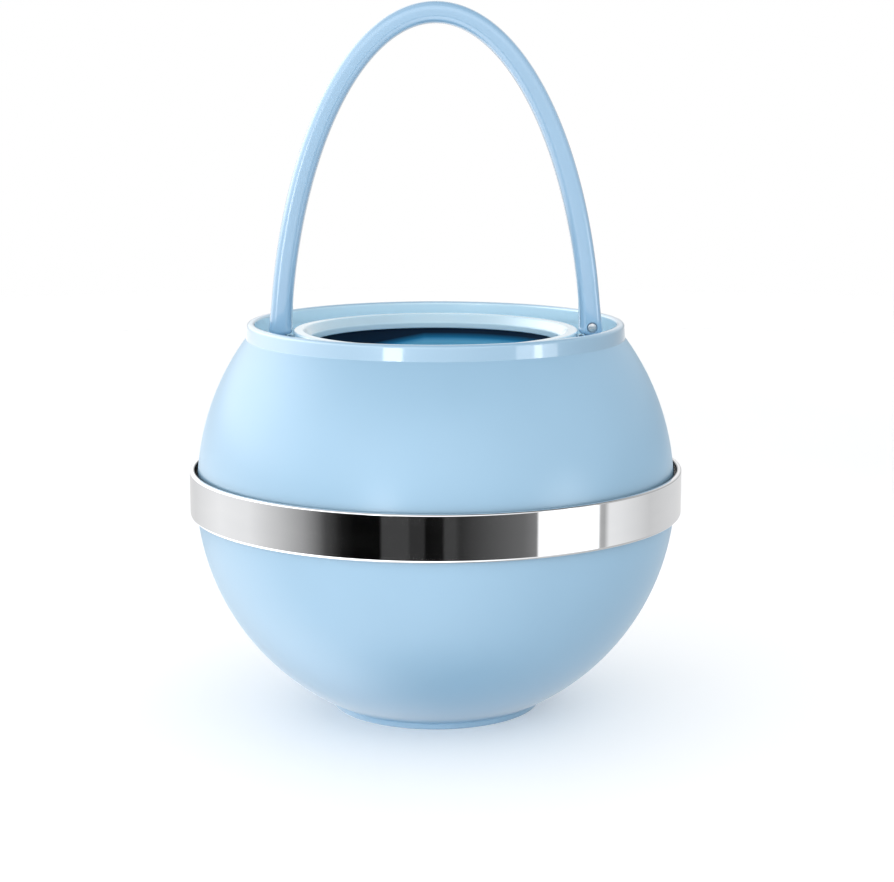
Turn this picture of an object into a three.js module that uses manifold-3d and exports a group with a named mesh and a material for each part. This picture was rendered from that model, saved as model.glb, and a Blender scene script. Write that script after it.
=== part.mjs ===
// Floating chlorine dispenser for a pool or spa, as an assembly of separate pieces.
// Units are millimetres, +Z is up, and the origin is the centre of the foot's resting face.
//
// Two moulded shells meet at the equator under a chromed band and hold a ring of air around a
// central well. The well's flange bears on the upper shell's neck, and four screws under the foot
// draw the lower shell up to the well, which closes all three seals. Tablets stand in a slotted
// basket in the well. Water enters through ports in the foot, and a dial under them meters it.
// A bail handle swings on two pins in the groove between the collar and the neck.
import * as THREE from "three";
import { mergeVertices } from "three/addons/utils/BufferGeometryUtils.js";
import Module from "manifold-3d";

const wasm = await Module();
wasm.setup();

// ---- Driving dimensions ----

const GAP = 0.3; // between pieces that touch
const WALL = 2.5; // of the shells
const ROUND = 48; // sides of a large round piece
const ROUND_SMALL = 16; // sides of a pin, a screw or a hole

const EQUATOR_Z = 74.8; // height of the widest section, where the shells meet
const BOWL_R = 80.85; // the lower shell is part of a sphere of this radius
const DOME_R = 85.5; // radius of the dome's arc
const DOME_AXIS_R = -5.1; // the dome's arc is centred this far past the axis
const SEAM_HALF = 0.9; // half the height of the slot between the shells' rims
const SKIRT_DEPTH = 7.4; // how far the upper shell's skirt reaches into the lower shell
const SKIRT_R = 77.1; // outside
const SKIRT_WALL = 2;

const COLLAR_TOP_Z = 131.1;
const COLLAR_BASE_Z = 126; // where the dome turns up into the collar
const COLLAR_R = 63; // outside, at its top
const COLLAR_WALL = 2.6;
const DECK_Z = 120.6; // the floor of the groove inside the collar
const NECK_R = 47.6; // outside
const NECK_LIP_R = 42.1; // the clear mouth that tablets pass
const NECK_LIP_LOW_Z = 123.7; // the lip hangs this low inside the well
const NECK_RING_Z = 128.6; // top of the neck ring

const BAND_R = 82.8; // outside
const BAND_INNER_R = 81.2;
const BAND_RIB_R = 79.8; // inner edge of the rib that the shells trap
const BAND_HEIGHT = 15.3;
const BAND_TOP_BEVEL = 0.8;
const BAND_BOTTOM_BEVEL = 1.4;

const FOOT_R = 35.4;
const FOOT_HEIGHT = 2.1;
const RECESS_R = 32.4; // the dial's recess under the foot
const PORT_PLATE_Z = 6; // underside of the plate with the water ports
const PORT_COUNT = 6;
const PORT_INNER_R = 9;
const PORT_OUTER_R = 22.8;
const PORT_ANGLE = THREE.MathUtils.degToRad(26);
const SEAT_RING_R = 40.9; // the lower shell's ring under the well, outside
const SEAT_RING_Z = 14.6;
const BASE_SCREW_CIRCLE_R = 27.5;
const BASE_SCREW_COUNT = 4;

const WELL_R = 45.9; // outside
const WELL_WALL = 1.6;
const WELL_FLOOR_Z = 16.4; // underside of the well's floor
const WELL_FLOOR_THICKNESS = 2.4;
const FLANGE_Z = 122.3; // underside of the well's flange
const FLANGE_THICKNESS = 1.7;

const BASKET_R = 41.4; // outside
const BASKET_WALL = 1.6;
const BASKET_TOP_Z = 110;
const BASKET_SLOT_COUNT = 16; // in each row round the basket, and in its floor
const BASKET_SLOT_WIDTH = 2.4;

const DIAL_R = 31.9;
const DIAL_Z = 3.3; // underside of the dial's plate
const DIAL_THICKNESS = 2.3;

const HANDLE_HALF_SPAN = 52.2; // the handle's centre line is half of an ellipse
const HANDLE_RISE = 117.6;
const HANDLE_CENTRE_Z = 115;
const HANDLE_THICK = 7.2; // in the plane of the arch
const HANDLE_WIDE = 9; // across that plane
const FOOT_END_Z = 127; // flat lower end of each leg
const PIVOT_Z = 123.8;
const PIN_R = 1.5;
const LUG_R = 2.8; // round end of the lugs and of the deck's ears
const LUG_MIDDLE_X = 52.2;
const LUG_HALF = 2.5; // half the lug's width along the pin
const LUG_SCREW_Z = 129.4;

const DEGREES = THREE.MathUtils.degToRad(1);

// ---- Materials ----

function plastic(color, roughness) {
  return new THREE.MeshStandardMaterial({ color, roughness, metalness: 0 });
}

const shellPlastic = plastic(0xa9cfe8, 0.32);
const handlePlastic = plastic(0xa9cdec, 0.22);
const wellPlastic = plastic(0x7fb6d6, 0.4);
const basketPlastic = plastic(0xe6edf1, 0.5);
const dialPlastic = plastic(0x93c1df, 0.4);
const gasketRubber = plastic(0x2c2f33, 0.8);
const chrome = new THREE.MeshStandardMaterial({ color: 0xdfe2e6, roughness: 0.05, metalness: 1 });
const steel = new THREE.MeshStandardMaterial({ color: 0xb9bcc0, roughness: 0.3, metalness: 1 });
const ballastSteel = new THREE.MeshStandardMaterial({ color: 0x5c6166, roughness: 0.6, metalness: 0.8 });

// ---- Shape helpers ----

// Points of a round stretch of an outline, from angle a0 to a1 in degrees, both ends included.
function arc(r, z, radius, a0, a1, steps) {
  const points = [];
  for (let i = 0; i <= steps; i++) {
    const a = (a0 + ((a1 - a0) * i) / steps) * DEGREES;
    points.push([r + radius * Math.cos(a), z + radius * Math.sin(a)]);
  }
  return points;
}

// Twice the signed area of a closed outline, positive where it runs anticlockwise.
function signedArea(outline) {
  return outline.reduce((sum, [r, z], i) => {
    const [nextR, nextZ] = outline[(i + 1) % outline.length];
    return sum + r * nextZ - nextR * z;
  }, 0);
}

// A closed outline of [r, z] points turned about the Z axis.
function lathe(outline, sides = ROUND) {
  const ordered = signedArea(outline) > 0 ? outline : [...outline].reverse();
  const points = [...ordered, ordered[0]].map(([r, z]) => new THREE.Vector2(r, z));
  return new THREE.LatheGeometry(points, sides).rotateX(Math.PI / 2);
}

// A ring of rectangular section.
function ring(innerR, outerR, lowZ, highZ, sides = ROUND) {
  return lathe([[innerR, lowZ], [outerR, lowZ], [outerR, highZ], [innerR, highZ]], sides);
}

// A solid round bar along Z.
function bar(radius, lowZ, highZ, sides = ROUND_SMALL) {
  const height = highZ - lowZ;
  return new THREE.CylinderGeometry(radius, radius, height, sides)
    .rotateX(Math.PI / 2)
    .translate(0, 0, lowZ + height / 2);
}

// A box from its lowest to its highest corner.
function block([x0, y0, z0], [x1, y1, z1]) {
  return new THREE.BoxGeometry(x1 - x0, y1 - y0, z1 - z0)
    .translate((x0 + x1) / 2, (y0 + y1) / 2, (z0 + z1) / 2);
}

// A geometry as a solid that can be joined and cut.
function solid(geometry) {
  const bare = geometry.clone();
  bare.deleteAttribute("normal");
  bare.deleteAttribute("uv");
  const merged = mergeVertices(bare, 1e-4);
  return new wasm.Manifold(new wasm.Mesh({
    numProp: 3,
    vertProperties: merged.attributes.position.array,
    triVerts: new Uint32Array(merged.index.array),
  }));
}

function geometryOf(manifold) {
  const { vertProperties, triVerts } = manifold.getMesh();
  const geometry = new THREE.BufferGeometry();
  geometry.setAttribute("position", new THREE.BufferAttribute(new Float32Array(vertProperties), 3));
  geometry.setIndex(new THREE.BufferAttribute(new Uint32Array(triVerts), 1));
  const faceted = geometry.toNonIndexed();
  faceted.computeVertexNormals();
  return faceted;
}

function cut(geometry, tools) {
  return geometryOf(tools.reduce((rest, tool) => rest.subtract(solid(tool)), solid(geometry)));
}

function join(geometry, additions) {
  return geometryOf(additions.reduce((whole, extra) => whole.add(solid(extra)), solid(geometry)));
}

// Copies of a geometry, spaced evenly about the Z axis from a first angle in radians.
function around(geometry, count, first = 0) {
  return Array.from({ length: count }, (_, i) =>
    geometry.clone().rotateZ(first + (2 * Math.PI * i) / count));
}

const assembly = new THREE.Group();

function piece(name, geometry, material) {
  const mesh = new THREE.Mesh(geometry, material);
  mesh.name = name;
  assembly.add(mesh);
  return mesh;
}

// A sector of a ring, centred on the X axis, for the water ports.
function sector(innerR, outerR, angle, lowZ, highZ) {
  const shape = new THREE.Shape();
  shape.absarc(0, 0, outerR, -angle / 2, angle / 2, false);
  shape.absarc(0, 0, innerR, angle / 2, -angle / 2, true);
  const options = { depth: highZ - lowZ, bevelEnabled: false, curveSegments: 3 };
  return new THREE.ExtrudeGeometry(shape, options).translate(0, 0, lowZ);
}

// ---- Shells ----

// Angle in degrees on the dome's arc, or on one inside it by an inset, at a height.
function domeAngle(z, inset) {
  return Math.asin((z - EQUATOR_Z) / (DOME_R - inset)) / DEGREES;
}

// The round end of an ear or lug in the YZ plane, with straight sides to a flat face.
function lugShape(flatZ) {
  const down = flatZ < PIVOT_Z;
  const shape = new THREE.Shape();
  shape.moveTo(LUG_R, flatZ);
  shape.lineTo(LUG_R, PIVOT_Z);
  shape.absarc(0, PIVOT_Z, LUG_R, 0, down ? Math.PI : -Math.PI, !down);
  shape.lineTo(-LUG_R, flatZ);
  return shape;
}

// A lug shape swept along X.
function lug(flatZ, lowX, highX) {
  const options = { depth: highX - lowX, bevelEnabled: false, curveSegments: 8 };
  return new THREE.ExtrudeGeometry(lugShape(flatZ), options)
    .rotateX(Math.PI / 2)
    .rotateZ(Math.PI / 2)
    .translate(lowX, 0, 0);
}

// A round bar along X on the pivot's axis.
function pivotBar(radius, lowX, highX) {
  return bar(radius, lowX, highX).rotateY(Math.PI / 2).translate(0, 0, PIVOT_Z);
}

const INNER_EAR_X = 47.9;
const INNER_EAR_END_X = LUG_MIDDLE_X - LUG_HALF - GAP;
const OUTER_EAR_X = LUG_MIDDLE_X + LUG_HALF + GAP;
const PIN_END_X = 58.5;

function upperShell() {
  const rimZ = EQUATOR_Z + SEAM_HALF;
  const skirtJoinZ = rimZ + 8;
  const deckUnder = DECK_Z - WALL;
  const neckBoreR = WELL_R + 0.4;
  const collarInnerR = COLLAR_R - COLLAR_WALL;
  const innerR = DOME_R - WALL;
  const outline = [
    ...arc(DOME_AXIS_R, EQUATOR_Z, DOME_R, domeAngle(rimZ, 0), domeAngle(COLLAR_BASE_Z, 0), 8),
    ...arc(COLLAR_R - 1, COLLAR_TOP_Z - 1, 1, 0, 90, 2),
    ...arc(collarInnerR + 0.7, COLLAR_TOP_Z - 0.7, 0.7, 90, 180, 2),
    [collarInnerR, DECK_Z + 0.8],
    [collarInnerR - 0.8, DECK_Z],
    [NECK_R, DECK_Z],
    [NECK_R, DECK_Z + GAP],
    [neckBoreR, DECK_Z + GAP],
    [neckBoreR, deckUnder - 4],
    [neckBoreR + 1.8, deckUnder - 4],
    [neckBoreR + 1.8, deckUnder],
    ...arc(DOME_AXIS_R, EQUATOR_Z, innerR, domeAngle(deckUnder, WALL), domeAngle(skirtJoinZ, WALL), 6),
    [SKIRT_R - SKIRT_WALL, skirtJoinZ - 2.5],
    [SKIRT_R - SKIRT_WALL, rimZ - SKIRT_DEPTH],
    [SKIRT_R, rimZ - SKIRT_DEPTH],
    [SKIRT_R, rimZ],
  ];
  const inner = lug(DECK_Z - 1, INNER_EAR_X, INNER_EAR_END_X);
  const outer = lug(DECK_Z - 1, OUTER_EAR_X, collarInnerR + 1);
  const hole = pivotBar(PIN_R + 0.1, INNER_EAR_X - 1, PIN_END_X + GAP);
  const whole = join(lathe(outline), [...around(inner, 2), ...around(outer, 2)]);
  return cut(whole, around(hole, 2));
}

function lowerShell() {
  const rimZ = EQUATOR_Z - SEAM_HALF;
  const innerR = BOWL_R - WALL;
  const plateTop = PORT_PLATE_Z + WALL;
  const seatInnerR = SEAT_RING_R - WALL;
  const recessWallR = RECESS_R + WALL;
  const bowlAngle = (z, radius) => Math.asin((z - EQUATOR_Z) / radius) / DEGREES;
  const angleAtR = (r, radius) => -Math.acos(r / radius) / DEGREES;
  const outline = [
    [RECESS_R, PORT_PLATE_Z],
    [RECESS_R, 0],
    ...arc(FOOT_R - 0.6, 0.6, 0.6, -90, 0, 2),
    [FOOT_R, FOOT_HEIGHT],
    ...arc(0, EQUATOR_Z, BOWL_R, bowlAngle(FOOT_HEIGHT + 0.1, BOWL_R), bowlAngle(rimZ, BOWL_R), 9),
    ...arc(0, EQUATOR_Z, innerR, bowlAngle(rimZ, innerR), angleAtR(SEAT_RING_R, innerR), 7),
    [SEAT_RING_R, SEAT_RING_Z],
    [seatInnerR, SEAT_RING_Z],
    ...arc(0, EQUATOR_Z, innerR, angleAtR(seatInnerR, innerR), angleAtR(recessWallR, innerR), 1),
    [recessWallR, plateTop],
    [0, plateTop],
    [0, PORT_PLATE_Z],
  ];
  const boss = bar(4.5, plateTop - 1, plateTop + 4.5);
  const port = sector(PORT_INNER_R, PORT_OUTER_R, PORT_ANGLE, PORT_PLATE_Z - 1, plateTop + 1);
  const screwHole = bar(1.6, PORT_PLATE_Z - 1, plateTop + 1).translate(BASE_SCREW_CIRCLE_R, 0, 0);
  const countersink = new THREE.CylinderGeometry(3, 1.6, 1.5, ROUND_SMALL)
    .rotateX(-Math.PI / 2)
    .translate(BASE_SCREW_CIRCLE_R, 0, PORT_PLATE_Z + 0.7);
  return cut(join(lathe(outline), [boss]), [
    ...around(port, PORT_COUNT),
    ...around(screwHole, BASE_SCREW_COUNT, Math.PI / 4),
    ...around(countersink, BASE_SCREW_COUNT, Math.PI / 4),
    bar(1.7, PORT_PLATE_Z - 1, plateTop + 3.5),
  ]);
}

// The band has a rib inside that the shells' rims trap when they close.
function trimBand() {
  const lowZ = EQUATOR_Z - BAND_HEIGHT / 2;
  const highZ = EQUATOR_Z + BAND_HEIGHT / 2;
  const ribHalf = SEAM_HALF - GAP;
  return lathe([
    [BAND_INNER_R, lowZ],
    [BAND_R - BAND_BOTTOM_BEVEL, lowZ],
    [BAND_R, lowZ + BAND_BOTTOM_BEVEL],
    [BAND_R, highZ - BAND_TOP_BEVEL],
    [BAND_R - BAND_TOP_BEVEL, highZ],
    [BAND_INNER_R, highZ],
    [BAND_INNER_R, EQUATOR_Z + ribHalf],
    [BAND_RIB_R, EQUATOR_Z + ribHalf],
    [BAND_RIB_R, EQUATOR_Z - ribHalf],
    [BAND_INNER_R, EQUATOR_Z - ribHalf],
  ]);
}

piece("lower_shell", lowerShell(), shellPlastic);
piece("upper_shell", upperShell(), shellPlastic);
piece("trim_band", trimBand(), chrome);
piece("seam_gasket", ring(77.4, 79.4, EQUATOR_Z - 0.6, EQUATOR_Z + 0.6), gasketRubber);

// ---- Well, its seals and its screws ----

const wellFloorTop = WELL_FLOOR_Z + WELL_FLOOR_THICKNESS;
const flangeTop = FLANGE_Z + FLANGE_THICKNESS;
const TONGUE_INNER_R = 45;
const TONGUE_OUTER_R = 46.2;
const TONGUE_TOP_Z = flangeTop + 2.1;

function tabletWell() {
  const innerR = WELL_R - WELL_WALL;
  const tube = lathe([
    [0, WELL_FLOOR_Z],
    [WELL_R, WELL_FLOOR_Z],
    [WELL_R, FLANGE_Z],
    [NECK_R, FLANGE_Z],
    [NECK_R, flangeTop],
    [TONGUE_OUTER_R, flangeTop],
    [TONGUE_OUTER_R, TONGUE_TOP_Z],
    [TONGUE_INNER_R, TONGUE_TOP_Z],
    [TONGUE_INNER_R, flangeTop],
    [innerR, flangeTop],
    [innerR, wellFloorTop],
    [0, wellFloorTop],
  ]);
  const bossFoot = PORT_PLATE_Z + WALL + GAP;
  const boss = bar(3.2, bossFoot, WELL_FLOOR_Z + 1).translate(BASE_SCREW_CIRCLE_R, 0, 0);
  const pilot = bar(1.5, bossFoot - 1, WELL_FLOOR_Z + 1).translate(BASE_SCREW_CIRCLE_R, 0, 0);
  const slot = (lowR, highR) =>
    block([lowR, -1.5, WELL_FLOOR_Z - 1], [highR, 1.5, wellFloorTop + 1]);
  return cut(join(tube, around(boss, BASE_SCREW_COUNT, Math.PI / 4)), [
    ...around(pilot, BASE_SCREW_COUNT, Math.PI / 4),
    ...around(slot(8, 22), 12),
    ...around(slot(26, 36.5), 12),
  ]);
}

// The neck ring snaps over the tongue on the well's flange and makes the mouth.
function neckRing() {
  const lowZ = flangeTop + GAP;
  const outline = [
    [NECK_LIP_R, NECK_LIP_LOW_Z],
    [WELL_R - WELL_WALL - GAP, NECK_LIP_LOW_Z],
    [WELL_R - WELL_WALL - GAP, lowZ],
    [TONGUE_INNER_R - GAP, lowZ],
    [TONGUE_INNER_R - GAP, TONGUE_TOP_Z + GAP],
    [TONGUE_OUTER_R + GAP, TONGUE_TOP_Z + GAP],
    [TONGUE_OUTER_R + GAP, lowZ],
    [NECK_R, lowZ],
    ...arc(NECK_R - 0.5, NECK_RING_Z - 0.5, 0.5, 0, 90, 2),
    ...arc(NECK_LIP_R + 2.2, NECK_RING_Z - 0.8, 0.8, 90, 135, 1),
    [NECK_LIP_R, lowZ + 1.4],
  ];
  const pryNotch = block([-1.7, NECK_R - 0.9, NECK_RING_Z - 1], [1.7, NECK_R + 1, NECK_RING_Z + 1]);
  return cut(lathe(outline), [pryNotch]);
}

// A countersunk screw under the foot, head down.
function baseScrew() {
  const headZ = PORT_PLATE_Z + 0.1;
  const head = new THREE.CylinderGeometry(2.6, 1.3, 1.3, ROUND_SMALL)
    .rotateX(-Math.PI / 2)
    .translate(0, 0, headZ + 0.65);
  const driveSlot = block([-1.7, -0.35, headZ - 1], [1.7, 0.35, headZ + 0.5]);
  return cut(join(bar(1.3, headZ + 1, WELL_FLOOR_Z + 0.5), [head]), [driveSlot]);
}

piece("tablet_well", tabletWell(), wellPlastic);
piece("neck_gasket", ring(WELL_R + 0.4, NECK_R - 0.1, DECK_Z + 2 * GAP, FLANGE_Z - GAP), gasketRubber);
piece("neck_ring", neckRing(), shellPlastic);
piece(
  "base_gasket",
  ring(SEAT_RING_R - WALL + 0.2, SEAT_RING_R - 0.2, SEAT_RING_Z + GAP, WELL_FLOOR_Z - GAP),
  gasketRubber,
);
for (let i = 0; i < BASE_SCREW_COUNT; i++) {
  const angle = Math.PI / 4 + (2 * Math.PI * i) / BASE_SCREW_COUNT;
  const screw = piece(`base_screw_${i + 1}`, baseScrew(), steel);
  screw.position.set(
    BASE_SCREW_CIRCLE_R * Math.cos(angle),
    BASE_SCREW_CIRCLE_R * Math.sin(angle),
    0,
  );
}

// ---- Ballast, around the well on the bowl ----

const BALLAST_R = 56;
const BALLAST_Z = 21.4;
const BALLAST_HEIGHT = 9;

piece(
  "ballast_ring",
  lathe([
    [WELL_R + 0.5, BALLAST_Z],
    [BALLAST_R - 1, BALLAST_Z],
    [BALLAST_R, BALLAST_Z + 1],
    [BALLAST_R, BALLAST_Z + BALLAST_HEIGHT - 1],
    [BALLAST_R - 1, BALLAST_Z + BALLAST_HEIGHT],
    [WELL_R + 0.5, BALLAST_Z + BALLAST_HEIGHT],
  ]),
  ballastSteel,
);

// ---- Basket ----

function tabletBasket() {
  const lowZ = wellFloorTop + GAP;
  const floorTop = lowZ + 2;
  const innerR = BASKET_R - BASKET_WALL;
  const cup = lathe([
    [0, lowZ],
    [BASKET_R - 1.2, lowZ],
    [BASKET_R, lowZ + 1.2],
    [BASKET_R, BASKET_TOP_Z],
    [innerR, BASKET_TOP_Z],
    [innerR, floorTop],
    [0, floorTop],
  ]);
  const wallHole = (halfWidth, z0, z1) =>
    block([innerR - 3, -halfWidth, z0], [BASKET_R + 2, halfWidth, z1]);
  const slotHalf = BASKET_SLOT_WIDTH / 2;
  const floorSlot = block([9, -slotHalf, lowZ - 1], [36, slotHalf, floorTop + 1]);
  const halfStep = Math.PI / BASKET_SLOT_COUNT;
  const fingerHole = wallHole(10, 97, 106);
  return cut(cup, [
    ...around(wallHole(slotHalf, 27, 56), BASKET_SLOT_COUNT, halfStep),
    ...around(wallHole(slotHalf, 61, 90), BASKET_SLOT_COUNT, halfStep),
    ...around(fingerHole, 2, Math.PI / 2),
    ...around(floorSlot, BASKET_SLOT_COUNT, halfStep),
  ]);
}

piece("tablet_basket", tabletBasket(), basketPlastic);

// ---- Flow dial ----

function flowDial() {
  const top = DIAL_Z + DIAL_THICKNESS;
  const port = sector(PORT_INNER_R, PORT_OUTER_R, PORT_ANGLE, DIAL_Z - 1, top + 1);
  const grip = block([PORT_INNER_R, -1.8, 0.8], [26, 1.8, DIAL_Z + 0.5]);
  const plate = join(bar(DIAL_R, DIAL_Z, top, ROUND), around(grip, 2, Math.PI / PORT_COUNT));
  return cut(plate, [...around(port, PORT_COUNT), bar(1.8, DIAL_Z - 1, top + 1)]);
}

function dialScrew() {
  const headZ = 0.9;
  const headHeight = 1.5;
  const slots = around(block([-2.2, -0.4, 0], [2.2, 0.4, headZ + 0.8]), 2, 0).concat(
    around(block([-0.4, -2.2, 0], [0.4, 2.2, headZ + 0.8]), 1));
  const shank = bar(1.5, headZ + 1, PORT_PLATE_Z + WALL + 3);
  return cut(join(bar(3.4, headZ, headZ + headHeight), [shank]), slots);
}

piece("flow_dial", flowDial(), dialPlastic);
piece("dial_screw", dialScrew(), steel);
piece("dial_washer", ring(1.8, 4.6, 2.65, 3.05, ROUND_SMALL), steel);

// ---- Handle and its hinges ----

// Half of an ellipse in the XZ plane, from a little below one foot to the same below the other.
class ArchCurve extends THREE.Curve {
  getPoint(t, target = new THREE.Vector3()) {
    const start = Math.asin((FOOT_END_Z - 2 - HANDLE_CENTRE_Z) / HANDLE_RISE);
    const angle = start + t * (Math.PI - 2 * start);
    return target.set(
      HANDLE_HALF_SPAN * Math.cos(angle),
      0,
      HANDLE_CENTRE_Z + HANDLE_RISE * Math.sin(angle),
    );
  }
}

// A rectangle with round corners, width along X and height along Y.
function roundedRectangle(width, height, radius) {
  const [x, y] = [width / 2 - radius, height / 2 - radius];
  const shape = new THREE.Shape();
  shape.absarc(x, y, radius, 0, Math.PI / 2, false);
  shape.absarc(-x, y, radius, Math.PI / 2, Math.PI, false);
  shape.absarc(-x, -y, radius, Math.PI, 1.5 * Math.PI, false);
  shape.absarc(x, -y, radius, 1.5 * Math.PI, 2 * Math.PI, false);
  return shape;
}

// Widens the legs in the plane of the arch towards their feet.
function flareFeet(geometry) {
  const flareTop = FOOT_END_Z + 13;
  const flareShare = 0.125;
  const position = geometry.attributes.position;
  for (let i = 0; i < position.count; i++) {
    const z = position.getZ(i);
    if (z < flareTop) {
      const share = Math.min(1, (flareTop - z) / (flareTop - FOOT_END_Z));
      const rise = (z - HANDLE_CENTRE_Z) / HANDLE_RISE;
      const middle = Math.sign(position.getX(i)) * HANDLE_HALF_SPAN * Math.sqrt(1 - rise * rise);
      const offset = position.getX(i) - middle;
      position.setX(i, middle + offset * (1 + flareShare * share * share));
    }
  }
  return geometry;
}

// A round bar along Y at the lug screw's height, over the lug's middle.
function crossBar(radius, lowY, highY) {
  return bar(radius, lowY, highY).rotateX(-Math.PI / 2).translate(LUG_MIDDLE_X, 0, LUG_SCREW_Z);
}

const SHANK_HALF_X = 2;
const SHANK_HALF_Y = 2.3;
const SHANK_TOP_Z = 133.5;
const SCREW_SEAT_Y = -3.4;

function handleBar() {
  const section = roundedRectangle(HANDLE_WIDE, HANDLE_THICK, 2.4);
  const options = { steps: 40, extrudePath: new ArchCurve(), bevelEnabled: false, curveSegments: 2 };
  const arch = flareFeet(new THREE.ExtrudeGeometry(section, options));
  const below = block([-70, -10, FOOT_END_Z - 10], [70, 10, FOOT_END_Z]);
  const pocket = block(
    [LUG_MIDDLE_X - SHANK_HALF_X - GAP, -SHANK_HALF_Y - GAP, FOOT_END_Z - 1],
    [LUG_MIDDLE_X + SHANK_HALF_X + GAP, SHANK_HALF_Y + GAP, SHANK_TOP_Z + GAP],
  );
  return cut(arch, [
    below,
    ...around(pocket, 2),
    ...around(crossBar(1.1, -HANDLE_WIDE, 0), 2),
    ...around(crossBar(1.8, -HANDLE_WIDE, SCREW_SEAT_Y), 2),
  ]);
}

// The lug plugs into a leg and turns on the pin between the deck's ears.
function pivotLug() {
  const shank = block(
    [LUG_MIDDLE_X - SHANK_HALF_X, -SHANK_HALF_Y, FOOT_END_Z - 1],
    [LUG_MIDDLE_X + SHANK_HALF_X, SHANK_HALF_Y, SHANK_TOP_Z],
  );
  const eye = lug(FOOT_END_Z - GAP, LUG_MIDDLE_X - LUG_HALF, LUG_MIDDLE_X + LUG_HALF);
  return cut(join(eye, [shank]), [
    pivotBar(PIN_R + 0.12, LUG_MIDDLE_X - 5, LUG_MIDDLE_X + 5),
    crossBar(1.05, -5, 0),
  ]);
}

function lugScrew() {
  const head = crossBar(1.5, SCREW_SEAT_Y - 0.9, SCREW_SEAT_Y - 0.1);
  const slotZ = LUG_SCREW_Z;
  const driveSlot = block(
    [LUG_MIDDLE_X - 1.1, -6, slotZ - 0.25],
    [LUG_MIDDLE_X + 1.1, SCREW_SEAT_Y - 0.5, slotZ + 0.25],
  );
  return cut(join(head, [crossBar(0.9, SCREW_SEAT_Y - 0.5, -0.4)]), [driveSlot]);
}

piece("handle", handleBar(), handlePlastic);
for (const [side, turn] of [["right", 0], ["left", Math.PI]]) {
  const hinge = new THREE.Group();
  hinge.rotation.z = turn;
  assembly.add(hinge);
  hinge.add(
    piece(`pivot_lug_${side}`, pivotLug(), handlePlastic),
    piece(`lug_screw_${side}`, lugScrew(), steel),
    piece(`pivot_pin_${side}`, pivotBar(PIN_R, INNER_EAR_X + 0.1, PIN_END_X), steel),
  );
}

export default assembly;
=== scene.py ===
"""Floating chlorine dispenser: fine surfaces, finishes and studio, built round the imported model.

Every piece rides on the body of the CAD node it stands for, and takes its place from that node's
box. Lengths in this file are millimetres until the mesh helpers turn them into metres.
"""

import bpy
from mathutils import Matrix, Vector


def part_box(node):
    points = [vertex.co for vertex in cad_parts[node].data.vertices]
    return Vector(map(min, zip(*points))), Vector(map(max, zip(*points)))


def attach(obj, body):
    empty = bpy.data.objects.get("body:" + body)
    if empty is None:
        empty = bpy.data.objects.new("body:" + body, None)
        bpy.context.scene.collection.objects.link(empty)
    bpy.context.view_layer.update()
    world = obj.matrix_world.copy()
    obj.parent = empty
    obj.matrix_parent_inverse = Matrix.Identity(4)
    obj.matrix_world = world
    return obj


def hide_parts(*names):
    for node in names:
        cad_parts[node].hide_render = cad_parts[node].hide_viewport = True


bl_info = {
    "name": "Floating Chlorine Dispenser",
    "version": (1, 0, 0),
    "blender": (4, 5, 0),
    "location": "View3D > Sidebar > Dispenser",
    "description": "Builds the shells, band, well, basket, dial and handle of a pool floater",
    "category": "Object",
}

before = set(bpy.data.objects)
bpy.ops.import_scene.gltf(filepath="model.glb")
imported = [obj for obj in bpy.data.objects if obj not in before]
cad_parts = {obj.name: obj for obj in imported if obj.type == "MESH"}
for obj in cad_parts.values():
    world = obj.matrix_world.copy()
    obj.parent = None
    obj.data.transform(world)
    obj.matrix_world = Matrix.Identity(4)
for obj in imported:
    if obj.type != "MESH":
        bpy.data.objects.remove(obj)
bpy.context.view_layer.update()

import math

import bmesh
import bpy
from mathutils import Matrix, Vector

MM = 0.001


# ---- Dimensions, in millimetres ----

def node_box(node):
    """Lowest and highest corner of a CAD node, in millimetres."""
    low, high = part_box(node)
    return low / MM, high / MM


BAND_LOW, BAND_HIGH = node_box("trim_band")
UPPER_LOW, UPPER_HIGH = node_box("upper_shell")
LOWER_LOW, LOWER_HIGH = node_box("lower_shell")
WELL_LOW, WELL_HIGH = node_box("tablet_well")
NECK_LOW, NECK_HIGH = node_box("neck_ring")
BASKET_LOW, BASKET_HIGH = node_box("tablet_basket")
DIAL_LOW, DIAL_HIGH = node_box("flow_dial")
BALLAST_LOW, BALLAST_HIGH = node_box("ballast_ring")
HANDLE_LOW, HANDLE_HIGH = node_box("handle")
LUG_LOW, LUG_HIGH = node_box("pivot_lug_right")
LUG_SCREW_LOW, LUG_SCREW_HIGH = node_box("lug_screw_right")
PIN_LOW, PIN_HIGH = node_box("pivot_pin_right")
BASE_SCREW_LOW, BASE_SCREW_HIGH = node_box("base_screw_1")
DIAL_SCREW_LOW, DIAL_SCREW_HIGH = node_box("dial_screw")
WASHER_LOW, WASHER_HIGH = node_box("dial_washer")

EQUATOR_Z = (BAND_LOW.z + BAND_HIGH.z) / 2
GAP = 0.3
WALL = 2.5

BOWL_R = 80.85
DOME_R = 85.5
DOME_AXIS_R = -5.1
SEAM_HALF = 0.9
FOOT_R = 35.4
FOOT_HEIGHT = 2.1
RECESS_R = 32.4
PLATE_Z = 6
SEAT_R = 40.9
SEAT_Z = 14.6

COLLAR_BASE_Z = 126
COLLAR_TOP_Z = UPPER_HIGH.z
COLLAR_R = 63
COLLAR_INNER_R = 60.4
DECK_Z = 120.6
BORE_R = 46.3
SKIRT_R = 77.1

BAND_INNER_R = 81.2
BAND_RIB_R = 79.8
BAND_TOP_ROUND = 0.6
BAND_BOTTOM_ROUND = 1

DIAL_PLATE_Z = 3.3
DIAL_BORE_R = 1.8
GRIP_HALF = 1.8
GRIP_OUTER_R = 26

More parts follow.
